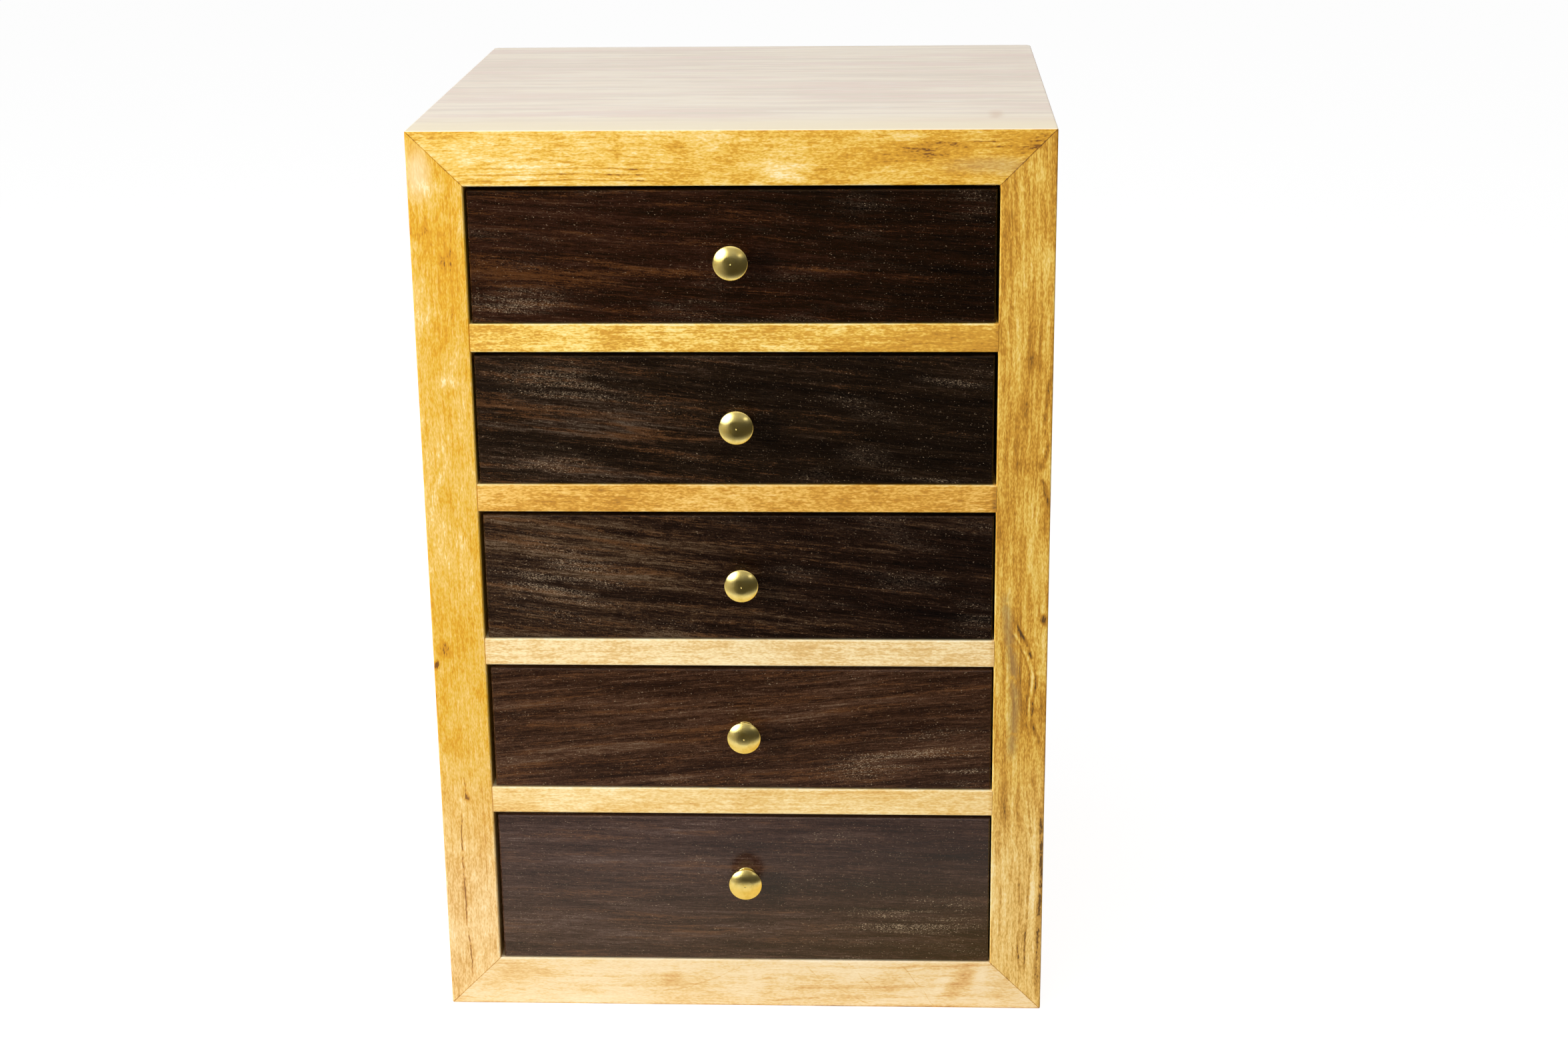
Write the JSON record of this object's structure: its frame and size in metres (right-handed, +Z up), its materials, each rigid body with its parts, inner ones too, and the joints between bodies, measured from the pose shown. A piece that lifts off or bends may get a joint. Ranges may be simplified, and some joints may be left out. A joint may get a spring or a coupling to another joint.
{
  "type": "case of drawers",
  "caption": "Small upright wooden case with mitred corners and a stack of dark-fronted drawers with round brass knobs, for a mahjong set.",
  "frame": {"origin": "middle of the underside of the case, on the surface that it stands on", "axes": "+Z up; the drawers face and open towards -Y; +X is to the right for someone facing the drawers"},
  "size_m": [0.232, 0.2259, 0.3465],
  "materials": {
    "case_maple": "clear satin oil on pale golden hardwood",
    "divider_maple": "clear satin oil on pale golden hardwood",
    "back_panel_wood": "clear satin oil on veneered panel",
    "spline_wood": "plain, glued",
    "panel_screw_brass": "satin",
    "drawer_front_rosewood": "satin oil on dark hardwood",
    "drawer_box_maple": "plain sanded",
    "drawer_bottom_ply": "plain sanded plywood",
    "knob_brass": "turned, satin polish",
    "knob_screw_steel": "zinc plated"
  },
  "bodies": {
    "case": {"top_board": "case_maple", "bottom_board": "case_maple", "left_side_board": "case_maple", "right_side_board": "case_maple", "divider_1": "divider_maple", "divider_2": "divider_maple", "divider_3": "divider_maple", "divider_4": "divider_maple", "back_panel": "back_panel_wood", "back_panel_screws": "panel_screw_brass", "mitre_spline_top_left": "spline_wood", "mitre_spline_top_right": "spline_wood", "mitre_spline_bottom_left": "spline_wood", "mitre_spline_bottom_right": "spline_wood"},
    "drawer_1": {"drawer_1_front": "drawer_front_rosewood", "drawer_1_left_side": "drawer_box_maple", "drawer_1_right_side": "drawer_box_maple", "drawer_1_back": "drawer_box_maple", "drawer_1_bottom": "drawer_bottom_ply", "drawer_1_knob": "knob_brass", "drawer_1_knob_screw": "knob_screw_steel"},
    "drawer_2": {"drawer_2_front": "drawer_front_rosewood", "drawer_2_left_side": "drawer_box_maple", "drawer_2_right_side": "drawer_box_maple", "drawer_2_back": "drawer_box_maple", "drawer_2_bottom": "drawer_bottom_ply", "drawer_2_knob": "knob_brass", "drawer_2_knob_screw": "knob_screw_steel"},
    "drawer_3": {"drawer_3_front": "drawer_front_rosewood", "drawer_3_left_side": "drawer_box_maple", "drawer_3_right_side": "drawer_box_maple", "drawer_3_back": "drawer_box_maple", "drawer_3_bottom": "drawer_bottom_ply", "drawer_3_knob": "knob_brass", "drawer_3_knob_screw": "knob_screw_steel"},
    "drawer_4": {"drawer_4_front": "drawer_front_rosewood", "drawer_4_left_side": "drawer_box_maple", "drawer_4_right_side": "drawer_box_maple", "drawer_4_back": "drawer_box_maple", "drawer_4_bottom": "drawer_bottom_ply", "drawer_4_knob": "knob_brass", "drawer_4_knob_screw": "knob_screw_steel"},
    "drawer_5": {"drawer_5_front": "drawer_front_rosewood", "drawer_5_left_side": "drawer_box_maple", "drawer_5_right_side": "drawer_box_maple", "drawer_5_back": "drawer_box_maple", "drawer_5_bottom": "drawer_bottom_ply", "drawer_5_knob": "knob_brass", "drawer_5_knob_screw": "knob_screw_steel"}
  },
  "joints": [
    {"name": "drawer_1_slide", "type": "slide", "parent": "case", "child": "drawer_1", "axis": [0, -1, 0], "range_m": [0, 0.15]},
    {"name": "drawer_2_slide", "type": "slide", "parent": "case", "child": "drawer_2", "axis": [0, -1, 0], "range_m": [0, 0.15]},
    {"name": "drawer_3_slide", "type": "slide", "parent": "case", "child": "drawer_3", "axis": [0, -1, 0], "range_m": [0, 0.15]},
    {"name": "drawer_4_slide", "type": "slide", "parent": "case", "child": "drawer_4", "axis": [0, -1, 0], "range_m": [0, 0.15]},
    {"name": "drawer_5_slide", "type": "slide", "parent": "case", "child": "drawer_5", "axis": [0, -1, 0], "range_m": [0, 0.15]}
  ]
}
